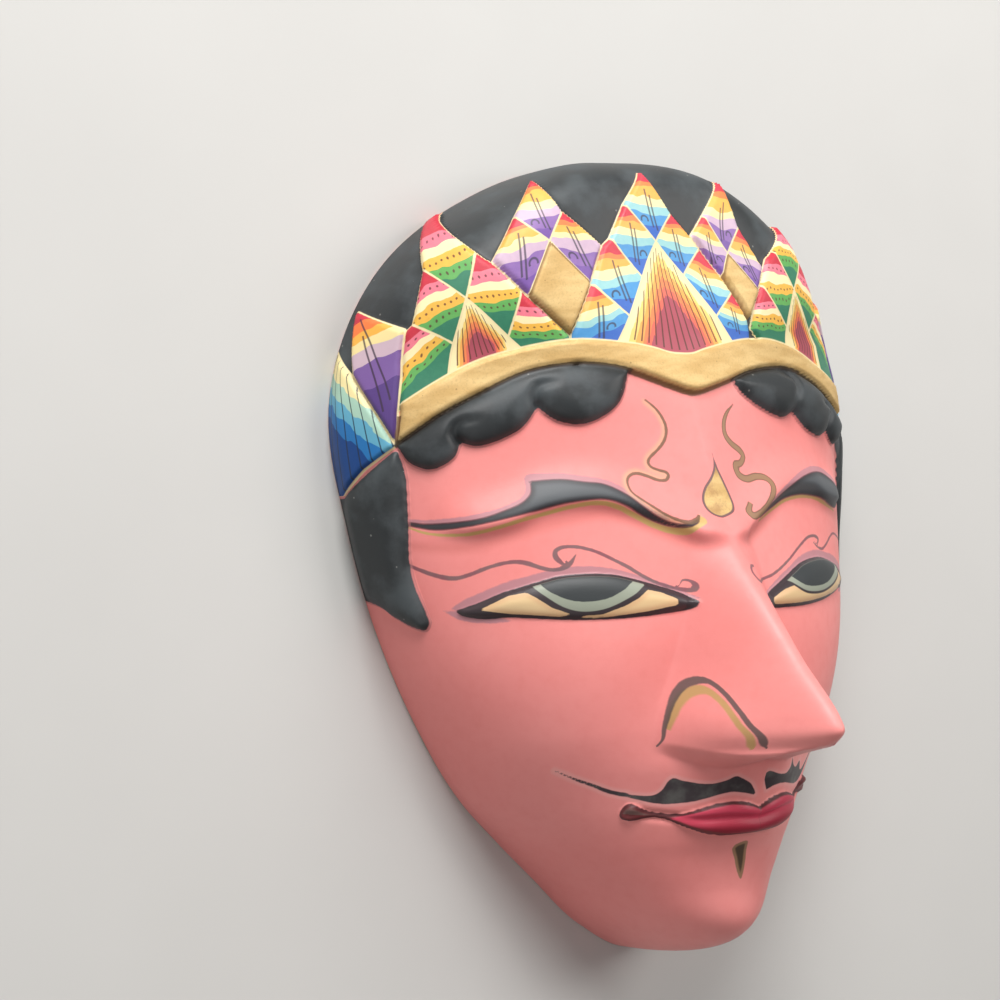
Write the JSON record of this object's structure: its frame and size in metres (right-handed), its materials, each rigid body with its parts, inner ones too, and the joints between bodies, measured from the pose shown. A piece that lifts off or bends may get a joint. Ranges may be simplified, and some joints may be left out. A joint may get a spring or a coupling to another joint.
{
  "type": "wooden wall mask",
  "caption": "Hollow-backed oval wooden face mask with a blade nose, slit eyes, scalloped hair, a raised headband and a crown of painted diamonds, resting on its flat rim.",
  "frame": {"origin": "on the plane of the back rim, at the middle of the outline's box; the mask lies face up on that rim", "axes": "+Z out of the face, +Y from chin to crown, +X to the right of someone who looks at the face"},
  "size_m": [0.155, 0.2, 0.0871],
  "materials": {
    "painted_wood": "satin"
  },
  "bodies": {
    "root": {"mask": "painted_wood"}
  },
  "joints": []
}
